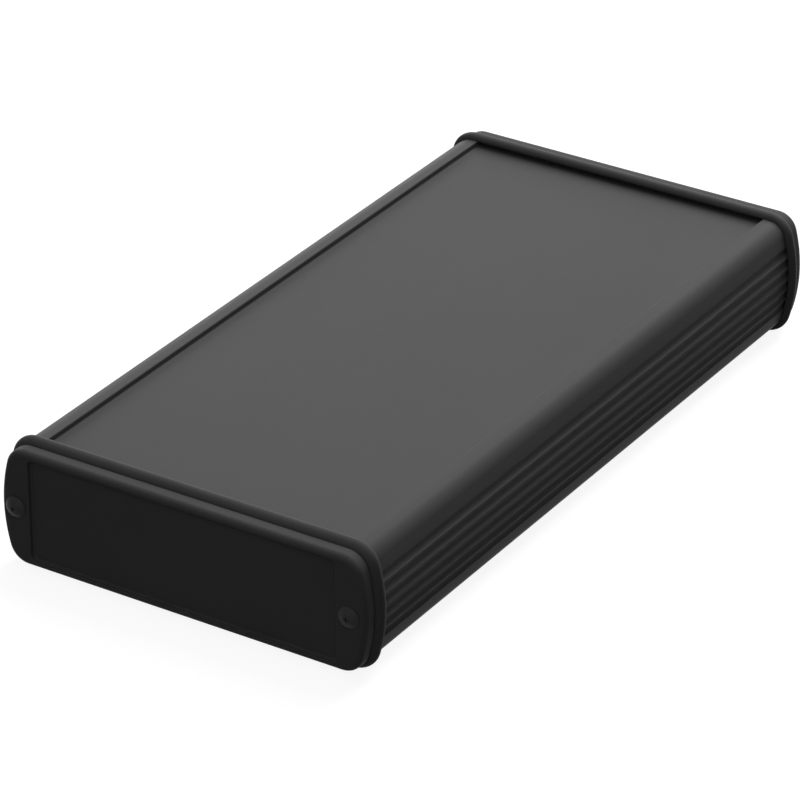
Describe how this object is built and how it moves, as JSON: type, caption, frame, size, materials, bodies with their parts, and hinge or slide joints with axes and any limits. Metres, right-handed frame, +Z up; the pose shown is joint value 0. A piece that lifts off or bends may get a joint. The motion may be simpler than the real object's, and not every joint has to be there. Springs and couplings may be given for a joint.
{
  "type": "aluminium instrument enclosure",
  "caption": "Slim extruded aluminium case with fluted bowed sides, a sunken top field, a slide-in base plate and screwed moulded end panels with rounded bezel rings.",
  "frame": {"origin": "centre of the bounding box's underside, on the surface that the two bezel rings stand on", "axes": "+Y along the extrusion towards the rear end, +Z up, +X to the right seen from the front end"},
  "size_m": [0.1062, 0.2136, 0.034],
  "materials": {
    "anodised_aluminium": "black satin anodised",
    "moulded_plastic": "fine matte black",
    "blackened_steel": "black coated, slight sheen"
  },
  "bodies": {
    "root": {"body_extrusion": "anodised_aluminium", "base_plate": "anodised_aluminium", "front_bezel": "moulded_plastic", "rear_bezel": "moulded_plastic", "front_panel": "moulded_plastic", "rear_panel": "moulded_plastic", "front_screw_left": "blackened_steel", "front_screw_right": "blackened_steel", "rear_screw_left": "blackened_steel", "rear_screw_right": "blackened_steel"}
  },
  "joints": []
}
